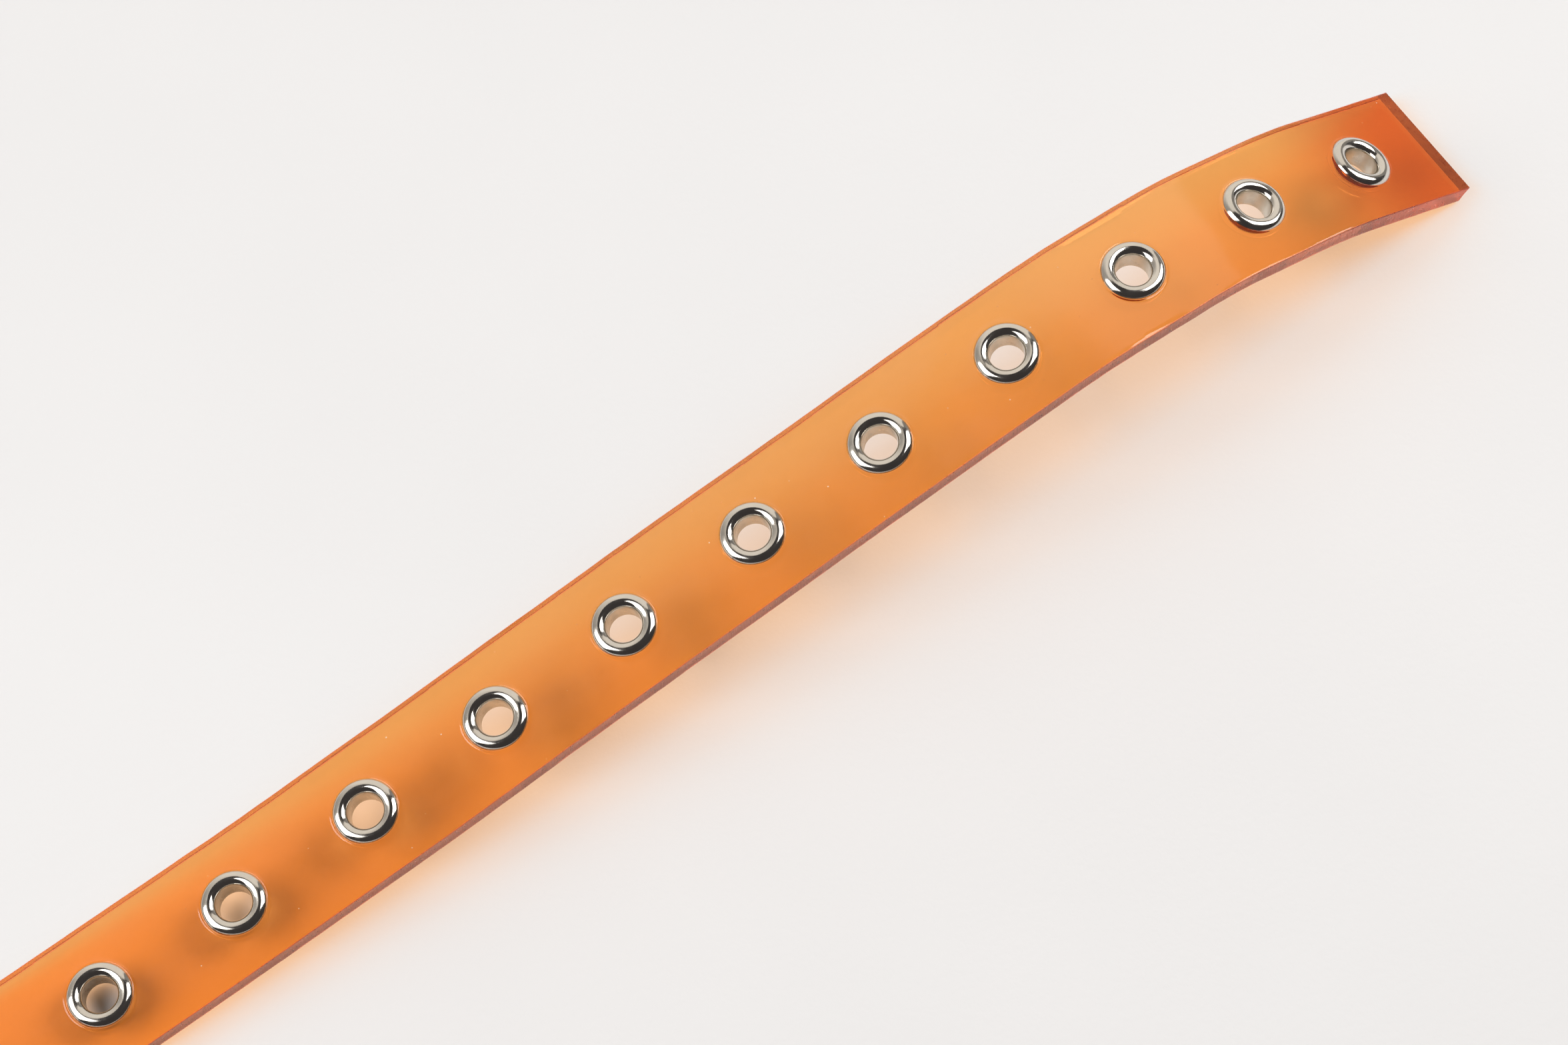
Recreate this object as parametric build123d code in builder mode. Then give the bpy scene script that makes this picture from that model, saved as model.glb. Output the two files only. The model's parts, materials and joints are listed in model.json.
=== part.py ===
from build123d import *
import os
from math import asin, atan2, cos, degrees, hypot, radians, sin, sqrt

# Open-ended length of flat polyurethane belting with one row of eyelets along its middle.
#
# The belt is one strip that bends everywhere. Here it is cut across at the lines midway between
# the eyelets, where each length turns on its neighbour about a line across the belt at half its
# thickness. Every length carries one eyelet, set from above, its barrel rolled over underneath.
#
# Frame: +X along the belt, +Y across it, +Z up. The origin is on the table, in the middle of the
# belt's plan outline. The belt stands as a low arch on its first eyelet and its +X cut end.

os.makedirs("parts", exist_ok=True)

# Belt, in millimetres
EYELET_COUNT = 12
PITCH = 22.0
BELT_WIDTH = 20.0
BELT_THICKNESS = 2.8
END_MARGIN = 15.0  # from the outermost eyelet's centre to the cut end
BELT_HOLE_DIAMETER = 6.0
KNUCKLE_GAP = 0.15  # between the round and the hollow end of two lengths

# The set that the belt has taken: its bend in degrees at each line midway between two eyelets,
# from the -X end to the +X end, with a bend towards the table positive.
SET_BENDS = (0.0, -1.0, -2.5, -1.5, 1.0, 0.5, 0.0, 1.5, 9.0, 14.0, 11.0)

# Eyelet, drawn from sheet. Heights are from the belt's top face.
SHEET = 0.35
EYELET_BORE_DIAMETER = 5.0
CREST_RADIUS = 3.6  # of the circle along the top of the domed flange
CREST_HEIGHT = 0.75
ROLL_RADIUS = CREST_RADIUS - EYELET_BORE_DIAMETER / 2  # from the crest down into the barrel
SKIRT_RADIUS = 1.2  # from the crest out to the rim
CURL_RADIUS = 0.72  # outside radius of the rolled lower end
CURL_CLEARANCE = 0.02  # between the curl's cut edge and the belt

HALF_THICKNESS = BELT_THICKNESS / 2
LAST = EYELET_COUNT - 1


def along(angle):
    """Unit vector along a length of belt that points down by an angle in degrees, as (x, z)."""
    return cos(radians(angle)), -sin(radians(angle))


def upward(angle):
    """Unit vector out of the top face of that length, as (x, z)."""
    return sin(radians(angle)), cos(radians(angle))


def point(centre, angle, run, rise):
    """The (x, z) that lies run along a length and rise above its middle, from its centre."""
    step, lift = along(angle), upward(angle)
    return centre[0] + run * step[0] + rise * lift[0], centre[1] + run * step[1] + rise * lift[1]


def chain(first_angle):
    """Centres and downward angles of all the lengths, the first one centred on zero."""
    angles = [first_angle]
    centres = [(0.0, 0.0)]
    for bend in SET_BENDS:
        line = point(centres[-1], angles[-1], PITCH / 2, 0)
        angles.append(angles[-1] + bend)
        centres.append(point(line, angles[-1], PITCH / 2, 0))
    return centres, angles


# The whole chain is tipped until it stands on Z = 0 with the curl of its first eyelet and the
# lower edge of its +X cut end, then moved so that its plan outline is centred on the origin.
CURL_MIDDLE = EYELET_BORE_DIAMETER / 2 + CURL_RADIUS
CURL_DEPTH = HALF_THICKNESS + CURL_CLEARANCE  # below the belt's middle
level_centres, level_angles = chain(0.0)
curl_foot = point(level_centres[0], level_angles[0], -CURL_MIDDLE, -CURL_DEPTH)
end_foot = point(level_centres[LAST], level_angles[LAST], END_MARGIN, -HALF_THICKNESS)
span_x = end_foot[0] - curl_foot[0]
span_z = end_foot[1] - curl_foot[1]
tip = degrees(atan2(span_z, span_x) + asin(CURL_RADIUS / hypot(span_x, span_z)))
centres, angles = chain(tip)
ground = point(centres[LAST], angles[LAST], END_MARGIN, -HALF_THICKNESS)[1]
outline_start = point(centres[0], angles[0], -END_MARGIN, HALF_THICKNESS)[0]
outline_end = point(centres[LAST], angles[LAST], END_MARGIN, HALF_THICKNESS)[0]
middle_x = (outline_start + outline_end) / 2
centres = [(x - middle_x, z - ground) for x, z in centres]


def side_plane(index):
    """Plane of a length's side profile: x along the belt, y out of its top face."""
    x, z = centres[index]
    step = along(angles[index])
    return Plane(origin=(x, 0, z), x_dir=(step[0], 0, step[1]), z_dir=(0, -1, 0))


def hole_axis(index):
    """Axis of a length's eyelet, pointing out of the belt's top face."""
    x, z = centres[index]
    lift = upward(angles[index])
    return Axis((x, 0, z), (lift[0], 0, lift[1]))


def belt_length(index):
    """One length of belt: hollow at its -X end, round at its +X end, cut square at an outer end."""
    hollow_radius = HALF_THICKNESS + KNUCKLE_GAP
    lip = -PITCH / 2 + sqrt(hollow_radius**2 - HALF_THICKNESS**2)
    left = -END_MARGIN if index == 0 else lip
    right = END_MARGIN if index == LAST else PITCH / 2
    with BuildPart() as belt:
        with BuildSketch(side_plane(index)):
            with BuildLine():
                Line((left, HALF_THICKNESS), (right, HALF_THICKNESS))
                if index == LAST:
                    Line((right, HALF_THICKNESS), (right, -HALF_THICKNESS))
                else:
                    nose = (right + HALF_THICKNESS, 0)
                    ThreePointArc((right, HALF_THICKNESS), nose, (right, -HALF_THICKNESS))
                Line((right, -HALF_THICKNESS), (left, -HALF_THICKNESS))
                if index == 0:
                    Line((left, -HALF_THICKNESS), (left, HALF_THICKNESS))
                else:
                    hollow = (-PITCH / 2 + hollow_radius, 0)
                    ThreePointArc((left, -HALF_THICKNESS), hollow, (left, HALF_THICKNESS))
            make_face()
        extrude(amount=BELT_WIDTH / 2, both=True)
        with Locations(hole_axis(index).location):
            Cylinder(BELT_HOLE_DIAMETER / 2, 2 * BELT_THICKNESS, mode=Mode.SUBTRACT)
    return belt


def eyelet(index):
    """Domed flange, barrel and lower curl in one drawn sheet, revolved about the hole's axis."""
    bore = EYELET_BORE_DIAMETER / 2
    roll_centre = (CREST_RADIUS, HALF_THICKNESS + CREST_HEIGHT - ROLL_RADIUS)
    skirt_centre = (CREST_RADIUS, HALF_THICKNESS + CREST_HEIGHT - SKIRT_RADIUS)
    curl_centre = (CURL_MIDDLE, -CURL_DEPTH)
    drop = SKIRT_RADIUS - CREST_HEIGHT  # from the belt's top face down to the skirt's centre
    rim_angle = degrees(asin(drop / SKIRT_RADIUS))
    foot_angle = degrees(asin(drop / (SKIRT_RADIUS - SHEET)))
    with BuildPart() as drawn:
        with BuildSketch(side_plane(index)):
            with BuildLine():
                skirt = CenterArc(skirt_centre, SKIRT_RADIUS, rim_angle, 90 - rim_angle)
                roll = CenterArc(roll_centre, ROLL_RADIUS, 90, 90)
                Line(roll @ 1, (bore, -CURL_DEPTH))
                curl = CenterArc(curl_centre, CURL_RADIUS, 180, 180)
                curl_under = CenterArc(curl_centre, CURL_RADIUS - SHEET, 0, -180)
                Line(curl @ 1, curl_under @ 0)
                roll_under = CenterArc(roll_centre, ROLL_RADIUS - SHEET, 180, -90)
                Line(curl_under @ 1, roll_under @ 0)
                skirt_under = CenterArc(skirt_centre, SKIRT_RADIUS - SHEET, 90, foot_angle - 90)
                Line(skirt_under @ 1, skirt @ 0)
            make_face()
        revolve(axis=hole_axis(index))
    return drawn


for index in range(EYELET_COUNT):
    for stem, make in (("belt", belt_length), ("eyelet", eyelet)):
        name = f"{stem}_{index + 1:02d}"
        piece = make(index)
        piece.part.label = name
        export_step(piece.part, f"parts/{name}.step")
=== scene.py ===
import json
from math import atan2, cos, degrees, hypot, pi, radians, sin, tan

import bpy
from mathutils import Matrix, Vector, noise


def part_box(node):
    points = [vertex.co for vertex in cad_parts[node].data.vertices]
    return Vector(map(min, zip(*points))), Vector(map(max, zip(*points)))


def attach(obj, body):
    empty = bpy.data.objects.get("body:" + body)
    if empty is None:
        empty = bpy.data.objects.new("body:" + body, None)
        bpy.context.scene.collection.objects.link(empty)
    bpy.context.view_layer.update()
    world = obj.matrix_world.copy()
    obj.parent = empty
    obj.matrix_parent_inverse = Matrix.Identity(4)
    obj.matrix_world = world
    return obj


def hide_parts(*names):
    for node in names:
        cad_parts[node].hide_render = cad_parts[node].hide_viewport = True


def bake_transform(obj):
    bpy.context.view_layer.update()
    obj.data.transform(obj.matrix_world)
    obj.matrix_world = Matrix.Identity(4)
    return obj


# Length of translucent orange polyurethane belting with a row of nickel-plated eyelets.
# The belt is one strip. It is made as twelve pieces that meet in the stiff zones beside the
# eyelets, and each piece bends across the hinge line that the CAD model has there.

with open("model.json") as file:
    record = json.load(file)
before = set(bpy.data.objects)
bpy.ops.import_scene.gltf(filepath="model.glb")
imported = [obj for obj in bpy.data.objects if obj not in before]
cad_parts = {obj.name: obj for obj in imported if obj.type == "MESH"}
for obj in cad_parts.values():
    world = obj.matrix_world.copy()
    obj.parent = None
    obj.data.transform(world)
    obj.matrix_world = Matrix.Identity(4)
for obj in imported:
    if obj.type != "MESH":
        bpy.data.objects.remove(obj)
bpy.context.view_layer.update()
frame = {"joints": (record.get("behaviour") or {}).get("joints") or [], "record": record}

MM = 0.001

# Belt
THICKNESS = 2.8 * MM
END_MARGIN = 15 * MM  # from the outermost eyelet's centre to the cut end
HOLE_RADIUS = 3.0 * MM
EDGE_RADIUS = 0.13 * MM  # where the faces meet the cut sides
FLEX_HALF = 5.8 * MM  # a hinge line's bend is spread this far to each side of it
END_UNDERCUT = 0.6 * MM  # how far the +X cut leans back under the top face

# Eyelet, from drawn sheet. Heights are from the belt's top face.
SHEET = 0.35 * MM
BORE_RADIUS = 2.5 * MM
CREST_RADIUS = 3.6 * MM  # of the circle along the top of the domed flange
CREST_HEIGHT = 0.75 * MM
ROLL_RADIUS = CREST_RADIUS - BORE_RADIUS  # from the crest down into the barrel
SKIRT_RADIUS = 1.2 * MM  # from the crest out to the rim
CURL_RADIUS = 0.72 * MM  # outside radius of the rolled lower end
CURL_CLEARANCE = 0.02 * MM  # between the curl's cut edge and the belt
SKIRT_DROP = SKIRT_RADIUS - CREST_HEIGHT  # from the belt's top face down to the skirt's centre
RIM_RADIUS = CREST_RADIUS + (SKIRT_RADIUS**2 - SKIRT_DROP**2) ** 0.5

# Size of each small irregularity
EDGE_WANDER = 0.14 * MM
EDGE_RIPPLE = 0.035 * MM
KNIFE_CHATTER = 0.045 * MM
SIDE_HOLLOW = 0.05 * MM
END_CHATTER = 0.05 * MM
FACE_WAVE = 0.03 * MM
LIP_HEIGHT = 0.03 * MM  # of the belt squeezed up round a flange
FLANGE_WAVE = 0.03 * MM
CREST_WAVE = 0.01 * MM
CURL_FOLD_IN = 0.05 * MM
CURL_FOLD_UP = 0.03 * MM

# Mesh
GRAIN_STEP = 0.26 * MM  # spacing along the belt
ACROSS_COUNT = 40
OUTER_RINGS = 9  # from the flange's rim out to the stiff zone's outline
ROUND_COUNT = 3  # steps round an edge of the belt
WALL_COUNT = 7  # steps down a cut side
HOLE_COUNT = 3  # steps down the hole through the belt
LATHE_TURNS = 144
SHARP_ANGLE = radians(50)

HALF = THICKNESS / 2


# ---------------------------------------------------------------- places from the CAD frame

def station_axes():
    """The unit vector out of the top face at each eyelet, from the record's bores."""
    bores = [m for m in frame["record"]["mounts"] if m["kind"] == "bore"]
    return [Vector(m["axis"]) for m in sorted(bores, key=lambda m: m["name"])]


hinges = [Vector(j["pos_m"]) for j in sorted(frame["joints"], key=lambda j: j["name"])]
ups = station_axes()
steps = [Vector((up.z, 0, -up.x)) for up in ups]
PITCH = (hinges[1] - hinges[0]).length
COUNT = len(ups)
LAST = COUNT - 1
centres = [hinges[0] - steps[0] * PITCH / 2]
centres += [hinges[i - 1] + steps[i] * PITCH / 2 for i in range(1, COUNT)]
low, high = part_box("belt_01")
HALF_WIDTH = (high.y - low.y) / 2
RIGID = PITCH / 2 - FLEX_HALF  # half the stiff zone round an eyelet
SIDE_START = HALF_WIDTH - EDGE_RADIUS


def body_name(i):
    return f"station_{i + 1:02d}"


def place(i, run, across, rise):
    """Point of the belt at run from eyelet i's centre along the strip, the set bends spread."""
    sideways = Vector((0, across, 0))
    if i == 0 or run >= -RIGID:
        return centres[i] + steps[i] * run + ups[i] * rise + sideways
    hinge, before, after = hinges[i - 1], steps[i - 1], steps[i]
    bend = atan2(before.x * after.z - before.z * after.x, before.dot(after))
    share = (run + PITCH / 2 + FLEX_HALF) / (2 * FLEX_HALF)
    turn = Matrix.Rotation(-bend * share, 3, "Y")
    up = turn @ ups[i - 1]
    if abs(bend) < 1e-6:
        return hinge + before * (run + PITCH / 2) + up * rise + sideways
    radius = FLEX_HALF / tan(bend / 2)
    pivot = hinge - before * FLEX_HALF + ups[i - 1] * radius
    return pivot - up * (radius - rise) + sideways


# ---------------------------------------------------------------- small irregularities

def wander(along, seed, size, length):
    """Smooth noise of that size and wavelength along the belt."""
    return size * noise.noise(Vector((along / length, seed, 0.37 * seed)))


def edge_offset(along, side):
    """How far the knife left that side of the strip from its true line."""
    slow = wander(along, 11 + side, EDGE_WANDER, 24 * MM)
    return slow + wander(along, 23 + side, EDGE_RIPPLE, 4 * MM)


def wall_relief(along, level, side):
    """Chatter of the knife on a cut side: level runs from 0 at the top to 1 at the bottom."""
    depth = sin(pi * level)
    slanted = along + 0.6 * MM * level
    return wander(slanted, 41 + side, KNIFE_CHATTER, 1.3 * MM) * depth - SIDE_HOLLOW * depth


def lip(distance):
    """The belt's face pressed down under the flange and squeezed up round its rim."""
    share = (distance - RIM_RADIUS) / (RIGID - RIM_RADIUS)
    if share <= 0 or share >= 1:
        return 0.0
    return LIP_HEIGHT * sin(pi * share**0.5) ** 2


def face_relief(along, across):
    """Slow unevenness of the cast faces."""
    return FACE_WAVE * noise.noise(Vector((along / (15 * MM), across / (9 * MM), 3.1)))


# ---------------------------------------------------------------- meshes

class Builder:
    """Collects vertices and faces, and shares vertices that were named alike."""

    def __init__(self):
        self.points, self.faces, self.slots, self.known = [], [], [], {}

    def vertex(self, key, make):
        if key not in self.known:
            self.known[key] = len(self.points)
            self.points.append(make())
        return self.known[key]

    def grid(self, rows, slot=0, flip=False):
        """Quads between rows of vertex numbers."""
        for one, two in zip(rows, rows[1:]):
            for k in range(len(one) - 1):
                quad = [one[k], one[k + 1], two[k + 1], two[k]]
                self.faces.append(quad[::-1] if flip else quad)
                self.slots.append(slot)

    def piece(self, name, materials):
        data = bpy.data.meshes.new(name)
        data.from_pydata(self.points, [], self.faces)
        for material in materials:
            data.materials.append(material)
        data.polygons.foreach_set("material_index", self.slots)
        data.polygons.foreach_set("use_smooth", [True] * len(self.faces))
        data.update()
        data.set_sharp_from_angle(angle=SHARP_ANGLE)
        made = bpy.data.objects.new(name, data)
        bpy.context.scene.collection.objects.link(made)
        return made


def spread(start, end, count):
    return [start + (end - start) * k / count for k in range(count + 1)]


def at_radius(radius, spot):
    """The point at that radius in the direction of a spot in the belt's plane."""
    run, across = spot
    distance = hypot(run, across)
    return radius * run / distance, radius * across / distance


def micro(length):
    """A length as a whole number of tenths of a micrometre, to name a vertex by."""
    return round(length * 1e7)


# Rings of the belt's face round a hole: wide under the flange, fine where its rim bears
INNER_RADII = spread(HOLE_RADIUS, RIM_RADIUS - 0.13 * MM, 3)
INNER_RADII += spread(RIM_RADIUS - 0.05 * MM, RIM_RADIUS + 0.37 * MM, 7)


def side_profile():
    """(outward, level, rise) down one cut side, from the top face to the bottom face."""
    rows = []
    for k in range(1, ROUND_COUNT + 1):
        angle = pi / 2 * k / ROUND_COUNT
        rows.append((EDGE_RADIUS * sin(angle), 0.0, HALF - EDGE_RADIUS * (1 - cos(angle))))
    straight = THICKNESS - 2 * EDGE_RADIUS
    for k in range(1, WALL_COUNT):
        level = k / WALL_COUNT
        rows.append((EDGE_RADIUS, level, HALF - EDGE_RADIUS - straight * level))
    for k in range(ROUND_COUNT):
        angle = pi / 2 * k / ROUND_COUNT
        rows.append((EDGE_RADIUS * cos(angle), 1.0, -HALF + EDGE_RADIUS * (1 - sin(angle))))
    return rows


SIDE_PROFILE = side_profile()


class StrapPiece:
    """The stretch of belt from just past the eyelet before to just past eyelet i.

    A run is a distance along the strip from eyelet i's centre. Vertices of the faces, sides and
    ends are shared, so each piece is one skin, open only where the next piece joins it.
    """

    def __init__(self, i):
        self.i = i
        self.build = Builder()
        self.start = -END_MARGIN if i == 0 else RIGID - PITCH
        self.end = END_MARGIN if i == LAST else RIGID
        self.before = spread(self.start, -RIGID, round((-RIGID - self.start) / GRAIN_STEP))
        self.patch = spread(-RIGID, RIGID, ACROSS_COUNT)
        self.after = [RIGID]
        if i == LAST:
            self.after = spread(RIGID, self.end, round((self.end - RIGID) / GRAIN_STEP))
        self.widths = spread(-SIDE_START, SIDE_START, ACROSS_COUNT)
        self.outline = self.stiff_outline()

    def stiff_outline(self):
        """(run, across) round the stiff zone, from the -Y end of its +X side."""
        right = [(RIGID, w) for w in self.widths[:-1]]
        top = [(r, SIDE_START) for r in self.patch[:0:-1]]
        left = [(-RIGID, w) for w in self.widths[:0:-1]]
        bottom = [(r, -SIDE_START) for r in self.patch[:-1]]
        return right + top + left + bottom

    def leant(self, run, rise):
        """The run moved so that the +X cut end leans back towards its lower edge."""
        if self.i != LAST or run <= RIGID:
            return run
        share = (run - RIGID) / (END_MARGIN - RIGID)
        return run - END_UNDERCUT * (0.5 - rise / THICKNESS) * share

    def spot(self, run, across, rise):
        """A point of the strip, its width following the knife's wander."""
        side = 1 if across > 0 else -1
        shift = edge_offset(self.i * PITCH + run, side) * side * abs(across) / HALF_WIDTH
        return place(self.i, self.leant(run, rise), across + shift, rise)

    def on_face(self, run, across, sign):
        """Vertex of the top face, or of the bottom face where sign is -1."""
        def make():
            distance = hypot(run, across)
            fade = min(1, max(0, distance - RIGID) / RIGID)
            bump = face_relief(self.i * PITCH + run, across) * fade
            return self.spot(run, across, (HALF + bump + lip(distance)) * sign)

        return self.build.vertex((sign, micro(run), micro(across)), make)

    def on_side(self, run, side, number):
        """Vertex of a cut side, at that row of the side profile."""
        def make():
            outward, level, rise = SIDE_PROFILE[number]
            out = SIDE_START + outward + wall_relief(self.i * PITCH + run, level, side)
            return self.spot(run, side * out, rise)

        return self.build.vertex(("side", side, number, micro(run)), make)

    def add_faces(self):
        """Top and bottom: rings from the hole to the stiff zone's outline, then rows across."""
        for sign in (1, -1):
            rings = [[at_radius(radius, spot) for spot in self.outline] for radius in INNER_RADII]
            inner = rings[-1]
            for k in range(1, OUTER_RINGS):
                share = (k / OUTER_RINGS) ** 1.5
                rings.append([(p[0] + (q[0] - p[0]) * share, p[1] + (q[1] - p[1]) * share)
                              for p, q in zip(inner, self.outline)])
            rings.append(self.outline)
            rows = [[self.on_face(r, w, sign) for r, w in ring + ring[:1]] for ring in rings]
            self.build.grid(rows, flip=sign > 0)
            for stretch in (self.before, self.after):
                rows = [[self.on_face(r, w, sign) for w in self.widths] for r in stretch]
                self.build.grid(rows, flip=sign > 0)

    def add_hole(self):
        """The wall of the hole through the belt."""
        spots = [at_radius(HOLE_RADIUS, spot) for spot in self.outline]
        rows = [[self.on_face(r, w, 1) for r, w in spots]]
        for k in range(1, HOLE_COUNT):
            rise = HALF - THICKNESS * (k / HOLE_COUNT)
            rows.append([self.build.vertex(("hole", k, number), lambda: place(self.i, r, w, rise))
                         for number, (r, w) in enumerate(spots)])
        rows.append([self.on_face(r, w, -1) for r, w in spots])
        self.build.grid([row + row[:1] for row in rows])

    def add_sides(self):
        """The two cut sides, each with a small round above and below."""
        for side in (1, -1):
            rows = []
            for run in self.before + self.patch[1:] + self.after[1:]:
                row = [self.on_face(run, side * SIDE_START, 1)]
                row += [self.on_side(run, side, number) for number in range(len(SIDE_PROFILE))]
                row.append(self.on_face(run, side * SIDE_START, -1))
                rows.append(row)
            self.build.grid(rows, 1, flip=side > 0)

    def add_end(self, run, outward):
        """A cut end of the belt, where outward is 1 for the +X end and -1 for the other."""
        rows = [[self.on_face(run, across, 1) for across in self.widths]]
        for number, (_, _, rise) in enumerate(SIDE_PROFILE):
            depth = sin(pi * (number + 1) / (len(SIDE_PROFILE) + 1))
            row = [self.on_side(run, -1, number)]
            for column, across in enumerate(self.widths[1:-1]):
                def make():
                    chatter = noise.noise(Vector((across / MM, rise / MM, 7.7)))
                    return self.spot(run + END_CHATTER * depth * chatter, across, rise)

                row.append(self.build.vertex(("end", number, column), make))
            row.append(self.on_side(run, 1, number))
            rows.append(row)
        rows.append([self.on_face(run, across, -1) for across in self.widths])
        self.build.grid(rows, 1, flip=outward > 0)

    def piece(self, materials):
        """The finished piece. Its points keep their places at rest, for the material to read."""
        self.add_faces()
        self.add_hole()
        self.add_sides()
        if self.i == 0:
            self.add_end(self.start, -1)
        if self.i == LAST:
            self.add_end(self.end, 1)
        made = self.build.piece(f"strap_{self.i + 1:02d}", materials)
        rest = made.data.attributes.new("rest", "FLOAT_VECTOR", "POINT")
        rest.data.foreach_set("vector", [value for point in self.build.points for value in point])
        return made


def arc(centre, radius, start, sweep, count):
    """(radius, height) points along an arc, angles in degrees."""
    found = []
    for k in range(count + 1):
        angle = radians(start + sweep * k / count)
        found.append((centre[0] + radius * cos(angle), centre[1] + radius * sin(angle)))
    return found


def eyelet_profile():
    """Section of the set eyelet, round its sheet: skirt, crest, barrel and curl, then back inside."""
    roll = (CREST_RADIUS, HALF + CREST_HEIGHT - ROLL_RADIUS)
    skirt = (CREST_RADIUS, HALF + CREST_HEIGHT - SKIRT_RADIUS)
    curl = (BORE_RADIUS + CURL_RADIUS, -HALF - CURL_CLEARANCE)
    inner = SKIRT_RADIUS - SHEET
    rim = degrees(atan2(SKIRT_DROP, (SKIRT_RADIUS**2 - SKIRT_DROP**2) ** 0.5)) + 1.5
    foot = degrees(atan2(SKIRT_DROP, (inner**2 - SKIRT_DROP**2) ** 0.5))
    outside = arc(skirt, SKIRT_RADIUS, rim, 90 - rim, 18)
    outside += arc(roll, ROLL_RADIUS, 90, 90, 18)[1:]
    top = outside[-1][1]
    outside += [(BORE_RADIUS, top + (curl[1] - top) * k / 6) for k in range(1, 6)]
    outside += arc(curl, CURL_RADIUS, 180, 172, 18)
    inside = arc(curl, CURL_RADIUS - SHEET, -8, -172, 12)
    inside += [(BORE_RADIUS + SHEET, curl[1] + (roll[1] - curl[1]) * k / 4) for k in range(1, 4)]
    inside += arc(roll, ROLL_RADIUS - SHEET, 180, -90, 6)
    inside += arc(skirt, inner, 90, foot - 90, 12)[1:]
    rim_edge = (RIM_RADIUS - 0.03 * MM, HALF + 0.005 * MM)
    return outside + inside + [rim_edge]


def eyelet_wobble(i, r, h, angle):
    """Outward and upward shift of one eyelet's surface: an oval flange, and folds in the curl."""
    wave = noise.noise(Vector((1.5 * cos(angle), 1.5 * sin(angle), 5.3 * i + 1.7)))
    if h > HALF - 0.2 * MM and r > CREST_RADIUS:
        return FLANGE_WAVE * wave * (r - CREST_RADIUS) / (RIM_RADIUS - CREST_RADIUS), 0.0
    if h < -HALF and r > BORE_RADIUS + 0.1 * MM:
        fold = abs(noise.noise(Vector((5 * cos(angle), 5 * sin(angle), 2.9 * i + 8.1))))
        return -CURL_FOLD_IN * fold, CURL_FOLD_UP * fold
    return 0.0, CREST_WAVE * wave


def eyelet_piece(i, materials):
    """The profile turned about the hole's axis, with the barrel's inside in the second slot."""
    build = Builder()
    profile = eyelet_profile()
    rows = []
    for n in range(LATHE_TURNS + 1):
        angle = 2 * pi * (n % LATHE_TURNS) / LATHE_TURNS
        row = []
        for number in range(len(profile) + 1):
            r, h = profile[number % len(profile)]

            def make():
                out, lift = eyelet_wobble(i, r, h, angle)
                return Vector(((r + out) * cos(angle), (r + out) * sin(angle), h + lift))

            row.append(build.vertex((n % LATHE_TURNS, number % len(profile)), make))
        rows.append(row)
    build.grid(rows, flip=True)
    middles = [sum((build.points[v] for v in face), Vector()) / len(face) for face in build.faces]
    bore = BORE_RADIUS + 0.03 * MM
    build.slots = [1 if hypot(m.x, m.y) < bore and m.z < HALF else 0 for m in middles]
    return build.piece(f"set_eyelet_{i + 1:02d}", materials)


# ---------------------------------------------------------------- materials

FACE_TINT = (1.0, 0.45, 0.115)
CUT_TINT = (1.0, 0.22, 0.10)
PASSING = (1.05, 0.80, 0.585)  # the colour that one face lets light through with
DUST = (0.95, 0.80, 0.66)
END_SHADE = (0.80, 0.47, 0.34)  # painted shade: share of the tint that is left at the belt's +X end, darkened there for less light
END_SHADE_START = centres[LAST].x - 14 * MM
END_SHADE_END = centres[LAST].x + 8 * MM


def new_material(name):
    material = bpy.data.materials.new(name)
    material.use_nodes = True
    tree = material.node_tree
    tree.nodes.clear()
    return material, tree


def node(tree, kind, inputs=None, **settings):
    """A shader node with these settings, its sockets set or linked by name or number."""
    made = tree.nodes.new(kind)
    for key, value in settings.items():
        setattr(made, key, value)
    for key, value in (inputs or {}).items():
        if isinstance(value, bpy.types.NodeSocket):
            tree.links.new(value, made.inputs[key])
        else:
            made.inputs[key].default_value = value
    return made


def ramp(tree, value, stops):
    """Colour ramp through (position, grey or colour) stops."""
    made = node(tree, "ShaderNodeValToRGB", {0: value})
    elements = made.color_ramp.elements
    while len(elements) < len(stops):
        elements.new(0.5)
    for element, (position, shade) in zip(elements, stops):
        element.position = position
        colour = (shade, shade, shade) if isinstance(shade, (int, float)) else shade
        element.color = (*colour, 1)
    return made.outputs[0]


def noise_of(tree, coords, scale, detail):
    """Noise whose features are about one over scale metres across."""
    inputs = {"Vector": coords, "Scale": scale, "Detail": detail}
    return node(tree, "ShaderNodeTexNoise", inputs).outputs["Fac"]


def calculate(tree, operation, *values):
    inputs = dict(enumerate(values))
    return node(tree, "ShaderNodeMath", inputs, operation=operation).outputs[0]


def blended(tree, factor, first, second):
    """Colour between two, each a socket or plain red, green and blue."""
    ends = [c if isinstance(c, bpy.types.NodeSocket) else (*c, 1) for c in (first, second)]
    inputs = {"Factor": factor, "A": ends[0], "B": ends[1]}
    return node(tree, "ShaderNodeMix", inputs, data_type="RGBA").outputs["Result"]


def specks(tree, coords):
    """A mask of sparse dust and tiny bubbles, each about a tenth of a millimetre across."""
    cell = node(tree, "ShaderNodeTexVoronoi", {"Vector": coords, "Scale": 420}).outputs["Distance"]
    dots = ramp(tree, cell, [(0.03, 1), (0.06, 0)])
    sparse = ramp(tree, noise_of(tree, coords, 700, 1), [(0.54, 0), (0.60, 0.8)])
    return calculate(tree, "MULTIPLY", dots, sparse)


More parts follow.
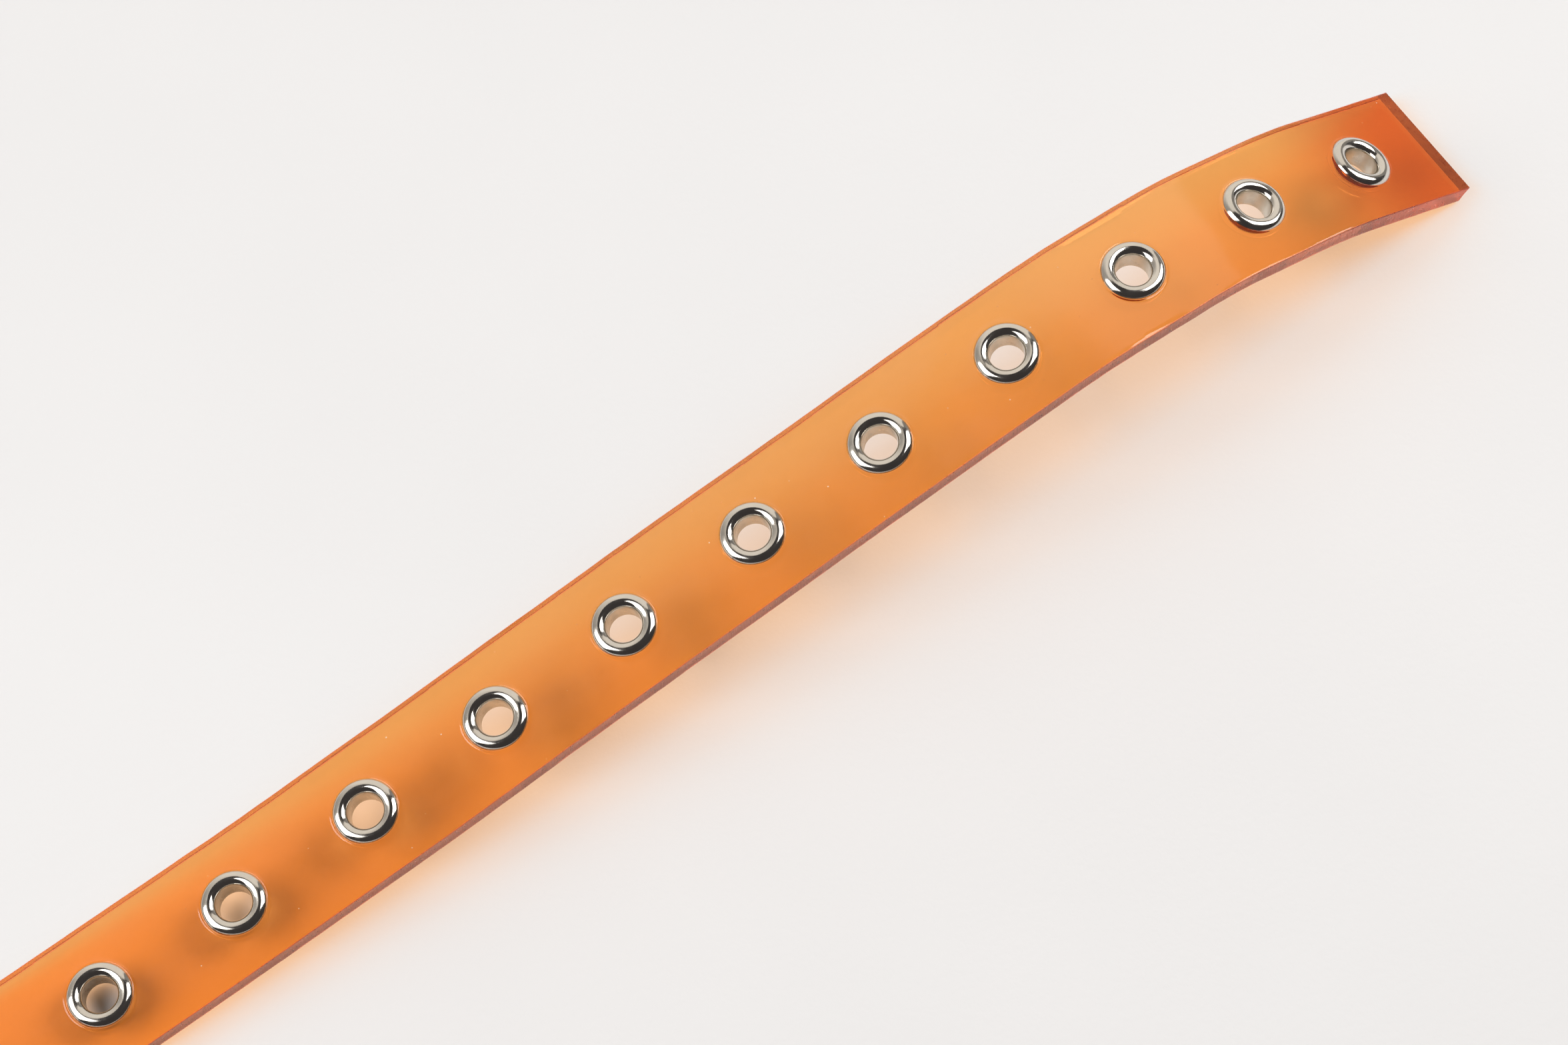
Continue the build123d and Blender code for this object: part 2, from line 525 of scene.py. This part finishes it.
def strap_colour(tree, coords, tint, speck):
    """The tint with faint clouds in it, darkened towards the belt's +X end as painted shade, and dust
    on top.
    """
    clouds = noise_of(tree, coords, 90, 4)
    body = ramp(tree, clouds, [(0.3, tuple(c * 0.97 for c in tint)), (0.7, tint)])
    x = node(tree, "ShaderNodeSeparateXYZ", {0: coords}).outputs["X"]
    # painted shade: the tint is blended darker towards the belt's +X end
    end_shade = node(tree, "ShaderNodeMapRange", {"Value": x, "From Min": END_SHADE_START, "From Max": END_SHADE_END},
                interpolation_type="SMOOTHSTEP").outputs[0]
    body = blended(tree, end_shade, body, tuple(t * a for t, a in zip(tint, END_SHADE)))
    return blended(tree, speck, body, DUST)


def strap_surface(tree, coords, roughness, cut):
    """Roughness and bump: a fine cast grain, or the knife's lines down a cut side."""
    fine = noise_of(tree, coords, 1500 if cut else 500, 5)
    rough = ramp(tree, fine, [(0.3, roughness * 0.75), (0.75, roughness * 1.3)])
    height = fine
    if cut:
        stretched = node(tree, "ShaderNodeMapping", {"Vector": coords, "Scale": (1, 1, 0.08)})
        height = noise_of(tree, stretched.outputs[0], 2600, 3)
    strength = 0.35 if cut else 0.03
    bump = node(tree, "ShaderNodeBump", {"Height": height, "Strength": strength, "Distance": 0.2 * MM})
    return rough, bump.outputs[0]


def strap_material(name, tint, roughness, clearness, cut):
    """Clear tinted polyurethane. Light that only passes through it is tinted once at each face."""
    material, tree = new_material(name)
    coords = node(tree, "ShaderNodeAttribute", attribute_name="rest").outputs["Vector"]
    speck = specks(tree, coords)
    rough, bump = strap_surface(tree, coords, roughness, cut)
    clear = calculate(tree, "MULTIPLY", calculate(tree, "SUBTRACT", 1.0, speck), clearness)
    shader = node(tree, "ShaderNodeBsdfPrincipled",
                  {"Base Color": strap_colour(tree, coords, tint, speck), "Roughness": rough,
                   "IOR": 1.55, "Transmission Weight": clear, "Normal": bump})
    through = node(tree, "ShaderNodeBsdfTransparent", {"Color": (*PASSING, 1)})
    path = node(tree, "ShaderNodeLightPath").outputs
    passing = calculate(tree, "MAXIMUM", path["Is Shadow Ray"], path["Is Diffuse Ray"])
    mix = node(tree, "ShaderNodeMixShader", {0: passing, 1: shader.outputs[0], 2: through.outputs[0]})
    node(tree, "ShaderNodeOutputMaterial", {0: mix.outputs[0]})
    return material


def nickel_material(name, colour, roughness, stain):
    """Bright nickel plate with polishing haze and fine marks."""
    material, tree = new_material(name)
    coords = node(tree, "ShaderNodeTexCoord").outputs["Object"]
    haze = noise_of(tree, coords, 700, 6)
    patches = noise_of(tree, coords, 260, 3)
    grain = noise_of(tree, coords, 9000, 2)
    shade = ramp(tree, patches, [(0.35, tuple(c * stain for c in colour)), (0.6, colour)])
    rough = ramp(tree, haze, [(0.35, roughness * 0.7), (0.75, roughness * 1.6)])
    height = calculate(tree, "MULTIPLY_ADD", grain, 0.25, haze)
    bump = node(tree, "ShaderNodeBump", {"Height": height, "Strength": 0.08, "Distance": 0.1 * MM})
    shader = node(tree, "ShaderNodeBsdfPrincipled",
                  {"Base Color": shade, "Metallic": 1.0, "Roughness": rough, "Normal": bump.outputs[0]})
    node(tree, "ShaderNodeOutputMaterial", {0: shader.outputs[0]})
    return material


# ---------------------------------------------------------------- the object

belt_face = strap_material("belt_face", FACE_TINT, roughness=0.07, clearness=0.97, cut=False)
belt_cut = strap_material("belt_cut", CUT_TINT, roughness=0.32, clearness=0.85, cut=True)
plate = nickel_material("nickel_plate", (0.70, 0.66, 0.60), roughness=0.12, stain=0.93)
barrel_plate = nickel_material("nickel_barrel", (0.70, 0.65, 0.56), roughness=0.36, stain=0.8)


def add_strap(i):
    """One piece of the belt, bending across the hinge line between its two lengths."""
    strap = StrapPiece(i).piece([belt_face, belt_cut])
    if i == 0:
        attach(strap, body_name(0))
    else:
        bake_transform(strap)
    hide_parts(f"belt_{i + 1:02d}")


def add_eyelet(i):
    """One eyelet, square to its length of belt."""
    eyelet = eyelet_piece(i, [plate, barrel_plate])
    upright = Matrix((steps[i], Vector((0, 1, 0)), ups[i])).transposed().to_4x4()
    upright.translation = centres[i]
    eyelet.matrix_world = upright
    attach(eyelet, body_name(i))
    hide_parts(f"eyelet_{i + 1:02d}")


for i in range(COUNT):
    add_strap(i)
    add_eyelet(i)


# ---------------------------------------------------------------- stage, lights and camera

BACKDROP_SLOPE = 0.388  # the backdrop's top edge lies where +Y is this share of the height
BACKDROP_SIDES = (  # azimuth in degrees, brightness
    (-60, 0.3), (-25, 0.45), (5, 1.0), (30, 1.1), (48, 2.0), (61.5, 2.0), (63, 0.25))
BEIGE = (0.95, 0.89, 0.81)
DARK = (0.05, 0.045, 0.045)
BACKGROUND = (0.84, 0.83, 0.825)
FLOOR_SHADES = ((0.80, 0.793, 0.793), (0.82, 0.813, 0.813))
FLOOR_HALF = 12.0
FLOOR_FADE_START = 0.26  # the floor passes over into the background between these distances
FLOOR_FADE_END = 0.55

CAMERA_AZIMUTH = radians(30.53)
CAMERA_ELEVATION = radians(65.45)
CAMERA_ROLL = radians(-4.73)
CAMERA_DISTANCE = 0.6095
CAMERA_TARGET = centres[6] + Vector((0.0047, -0.0007, 0))


def compass(azimuth, elevation):
    """Unit vector at an azimuth from +Y towards +X and an elevation, both in radians."""
    return Vector((sin(azimuth) * cos(elevation), cos(azimuth) * cos(elevation), sin(elevation)))


def make_floor():
    """A sheet of pale paper. Seen from the camera, it passes over into the plain background."""
    data = bpy.data.meshes.new("floor")
    corners = [(x * FLOOR_HALF, y * FLOOR_HALF, 0) for x, y in ((-1, -1), (1, -1), (1, 1), (-1, 1))]
    data.from_pydata(corners, [], [(0, 1, 2, 3)])
    floor = bpy.data.objects.new("floor", data)
    bpy.context.scene.collection.objects.link(floor)
    material, tree = new_material("floor_board")
    coords = node(tree, "ShaderNodeTexCoord").outputs["Object"]
    shade = ramp(tree, noise_of(tree, coords, 14, 3), list(zip((0.3, 0.7), FLOOR_SHADES)))
    paper = noise_of(tree, coords, 900, 3)
    bump = node(tree, "ShaderNodeBump", {"Height": paper, "Strength": 0.12, "Distance": 0.3 * MM})
    shader = node(tree, "ShaderNodeBsdfPrincipled",
                  {"Base Color": shade, "Roughness": 0.7, "Normal": bump.outputs[0]})
    distance = node(tree, "ShaderNodeVectorMath", {0: coords}, operation="LENGTH").outputs["Value"]
    far = ramp(tree, distance, [(FLOOR_FADE_START, 0), (FLOOR_FADE_END, 1)])
    seen = node(tree, "ShaderNodeLightPath").outputs["Is Camera Ray"]
    faded = calculate(tree, "MULTIPLY", far, seen)
    haze = node(tree, "ShaderNodeEmission", {"Color": (*BACKGROUND, 1), "Strength": 1.0})
    mix = node(tree, "ShaderNodeMixShader", {0: faded, 1: shader.outputs[0], 2: haze.outputs[0]})
    node(tree, "ShaderNodeOutputMaterial", {0: mix.outputs[0]})
    data.materials.append(material)


def softbox(name, azimuth, elevation, size, power):
    """A lamp one metre from the belt, facing it, with its angles in degrees."""
    lamp = bpy.data.lights.new(name, "AREA")
    lamp.shape = "RECTANGLE"
    lamp.size, lamp.size_y = size
    lamp.energy = power
    holder = bpy.data.objects.new(name, lamp)
    direction = compass(radians(azimuth), radians(elevation))
    holder.location = CAMERA_TARGET + direction
    holder.rotation_euler = direction.to_track_quat("Z", "Y").to_euler()
    bpy.context.scene.collection.objects.link(holder)


def make_world():
    """A studio: a pale backdrop beyond the belt, dark overhead and behind the camera."""
    world = bpy.data.worlds.new("room")
    bpy.context.scene.world = world
    world.use_nodes = True
    tree = world.node_tree
    tree.nodes.clear()
    coords = node(tree, "ShaderNodeTexCoord").outputs["Generated"]
    x, y, z = node(tree, "ShaderNodeSeparateXYZ", {0: coords}).outputs
    slope = calculate(tree, "DIVIDE", y, calculate(tree, "MAXIMUM", z, 0.02))
    beyond = ramp(tree, slope, [(BACKDROP_SLOPE - 0.02, 0), (BACKDROP_SLOPE + 0.02, 1)])
    turn = calculate(tree, "MULTIPLY_ADD", calculate(tree, "ARCTAN2", x, y), 1 / (2 * pi), 0.5)
    sides = ramp(tree, turn, [(0.5 + angle / 360, level) for angle, level in BACKDROP_SIDES])
    room = blended(tree, calculate(tree, "MULTIPLY", beyond, sides), DARK, BEIGE)
    horizon = ramp(tree, z, [(0.01, 1), (0.04, 0)])
    seen = node(tree, "ShaderNodeLightPath").outputs["Is Camera Ray"]
    shade = blended(tree, calculate(tree, "MAXIMUM", horizon, seen), room, BACKGROUND)
    background = node(tree, "ShaderNodeBackground", {"Color": shade, "Strength": 1.0})
    node(tree, "ShaderNodeOutputWorld", {0: background.outputs[0]})


def make_camera():
    camera = bpy.data.cameras.new("camera")
    camera.lens = 100
    camera.sensor_width = 36
    holder = bpy.data.objects.new("camera", camera)
    bpy.context.scene.collection.objects.link(holder)
    back = -compass(CAMERA_AZIMUTH, -CAMERA_ELEVATION)
    right = Vector((cos(CAMERA_AZIMUTH), -sin(CAMERA_AZIMUTH), 0))
    up = back.cross(right)
    rolled = right * cos(CAMERA_ROLL) + up * sin(CAMERA_ROLL)
    upright = up * cos(CAMERA_ROLL) - right * sin(CAMERA_ROLL)
    matrix = Matrix((rolled, upright, back)).transposed().to_4x4()
    matrix.translation = CAMERA_TARGET + back * CAMERA_DISTANCE
    holder.matrix_world = matrix
    bpy.context.scene.camera = holder


make_floor()
make_world()
softbox("softbox_left", azimuth=-70, elevation=41, size=(0.65, 0.85), power=7.4)
softbox("softbox_right", azimuth=98, elevation=45, size=(0.50, 0.80), power=6.8)
make_camera()

scene = bpy.context.scene
scene.view_settings.view_transform = "Standard"
scene.cycles.caustics_refractive = False
scene.cycles.caustics_reflective = False
